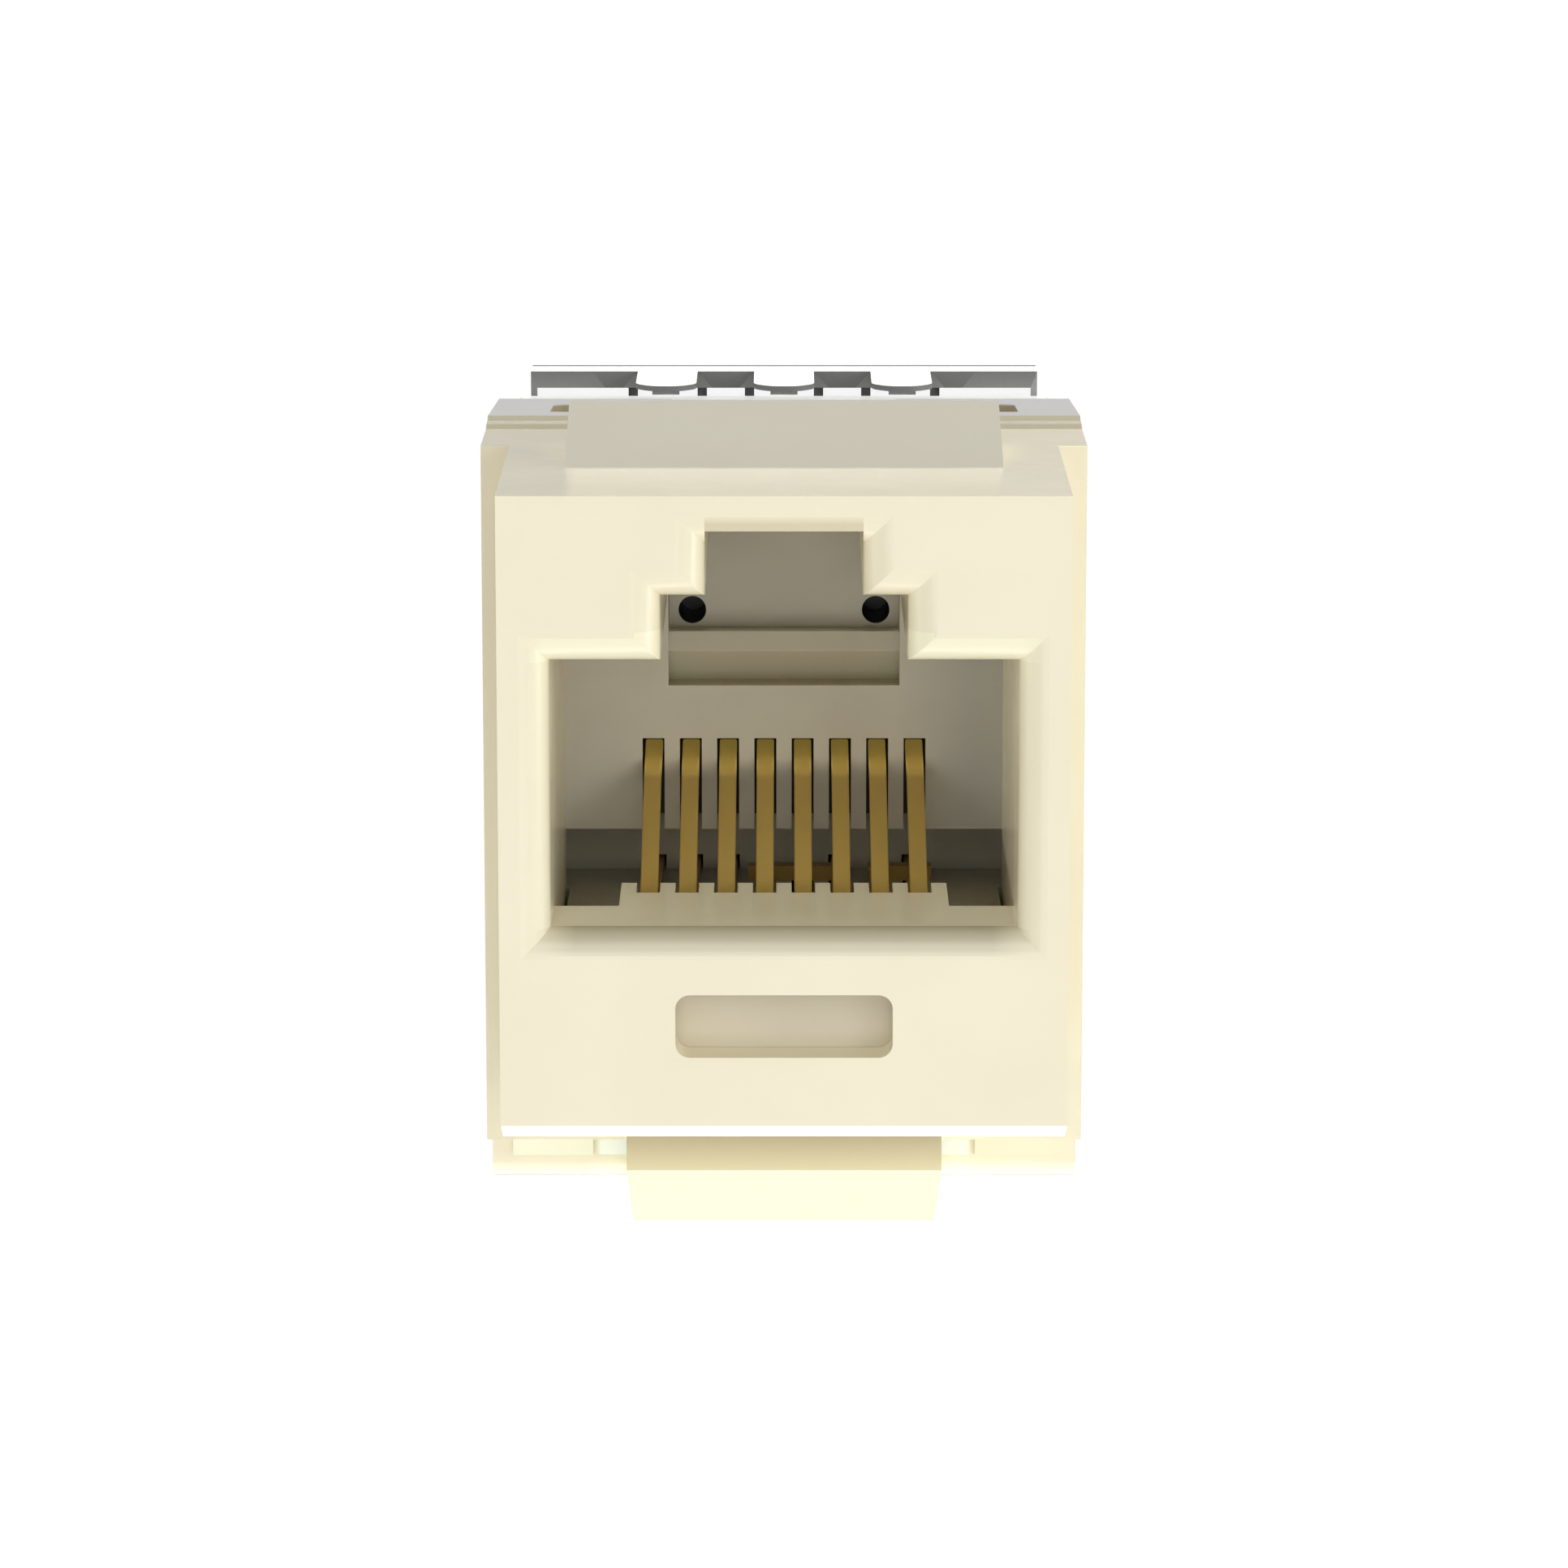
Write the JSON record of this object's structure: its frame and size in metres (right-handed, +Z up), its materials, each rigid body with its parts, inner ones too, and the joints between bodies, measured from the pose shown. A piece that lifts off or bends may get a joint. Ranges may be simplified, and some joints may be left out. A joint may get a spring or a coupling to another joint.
{
  "type": "punch-down jack",
  "caption": "Keystone modular jack with a stepped plug port, sprung gold contacts, snap latch, punch-down wire towers at the rear and a clear cap over them.",
  "frame": {"origin": "on the axis of the plug port's wide opening, in the plane of the face", "axes": "+Y into the jack, from the face to the wire towers; +Z up, towards the port's latch notch and the fixed lug; +X across the face"},
  "size_m": [0.016, 0.0331, 0.0237],
  "materials": {
    "ivory_plastic": "moulded, fine satin gloss",
    "carrier_plastic": "moulded, satin",
    "white_plastic": "moulded, satin",
    "board_laminate": "solder-masked glass laminate",
    "gold_contact": "gold-plated strip",
    "tinned_blade": "tin-plated phosphor bronze",
    "clear_plastic": "clear moulded cap"
  },
  "bodies": {
    "root": {"front_housing": "ivory_plastic", "contact_carrier": "carrier_plastic", "contact_spring_1": "gold_contact", "contact_spring_2": "gold_contact", "contact_spring_3": "gold_contact", "contact_spring_4": "gold_contact", "contact_spring_5": "gold_contact", "contact_spring_6": "gold_contact", "contact_spring_7": "gold_contact", "contact_spring_8": "gold_contact", "circuit_board": "board_laminate", "rear_housing": "white_plastic", "wire_terminal_left_1": "tinned_blade", "wire_terminal_left_2": "tinned_blade", "wire_terminal_left_3": "tinned_blade", "wire_terminal_left_4": "tinned_blade", "wire_terminal_right_1": "tinned_blade", "wire_terminal_right_2": "tinned_blade", "wire_terminal_right_3": "tinned_blade", "wire_terminal_right_4": "tinned_blade", "clear_cap": "clear_plastic"}
  },
  "joints": []
}
